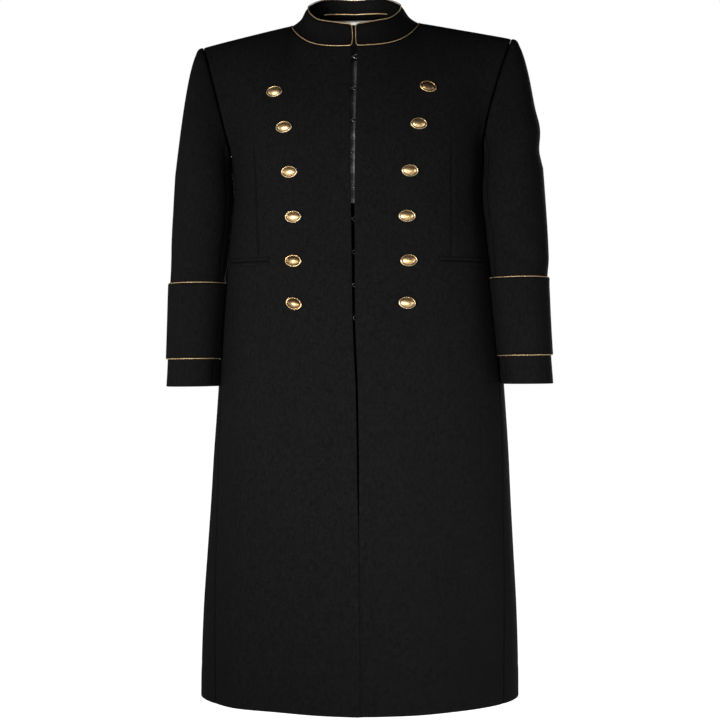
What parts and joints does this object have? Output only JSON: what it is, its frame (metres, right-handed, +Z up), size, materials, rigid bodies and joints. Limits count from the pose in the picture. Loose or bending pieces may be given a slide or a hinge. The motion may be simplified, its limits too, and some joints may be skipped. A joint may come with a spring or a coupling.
{
  "type": "military overcoat",
  "caption": "Long wool military overcoat, filled out, with a piped stand collar, piped cuff bands, domed buttons and a hooked front.",
  "frame": {"origin": "midway between the two side neck points, at the height of the neck seam there, where the wearer's shoulders hold the coat", "axes": "+Z up, -Y towards the coat's front, +X towards the wearer's left"},
  "size_m": [0.5582, 0.316, 1.0231],
  "materials": {
    "wool": "matte",
    "gold_cord": "satin",
    "brass": "satin",
    "satin": "satin",
    "black_wire": "satin",
    "label_cloth": "satin"
  },
  "bodies": {
    "root": {"front_right": "wool", "back_right": "wool", "sleeve_top_right": "wool", "sleeve_under_right": "wool", "cuff_band_right": "wool", "cuff_piping_upper_right": "gold_cord", "pocket_welt_upper_right": "wool", "cuff_piping_lower_right": "gold_cord", "pocket_welt_lower_right": "wool", "button_right_1": "brass", "button_right_2": "brass", "button_right_3": "brass", "button_right_4": "brass", "button_right_5": "brass", "button_right_6": "brass", "front_left": "wool", "back_left": "wool", "sleeve_top_left": "wool", "sleeve_under_left": "wool", "cuff_band_left": "wool", "cuff_piping_upper_left": "gold_cord", "pocket_welt_upper_left": "wool", "cuff_piping_lower_left": "gold_cord", "pocket_welt_lower_left": "wool", "button_left_1": "brass", "button_left_2": "brass", "button_left_3": "brass", "button_left_4": "brass", "button_left_5": "brass", "button_left_6": "brass", "stand_collar": "wool", "collar_piping": "gold_cord", "front_underlap": "satin", "neck_label": "label_cloth", "hanger_loop": "gold_cord", "hook_1": "black_wire", "eye_1": "black_wire", "hook_2": "black_wire", "eye_2": "black_wire", "hook_3": "black_wire", "eye_3": "black_wire", "hook_4": "black_wire", "eye_4": "black_wire", "hook_5": "black_wire", "eye_5": "black_wire", "hook_6": "black_wire", "eye_6": "black_wire", "hook_7": "black_wire", "eye_7": "black_wire", "hook_8": "black_wire", "eye_8": "black_wire", "hook_9": "black_wire", "eye_9": "black_wire"}
  },
  "joints": []
}
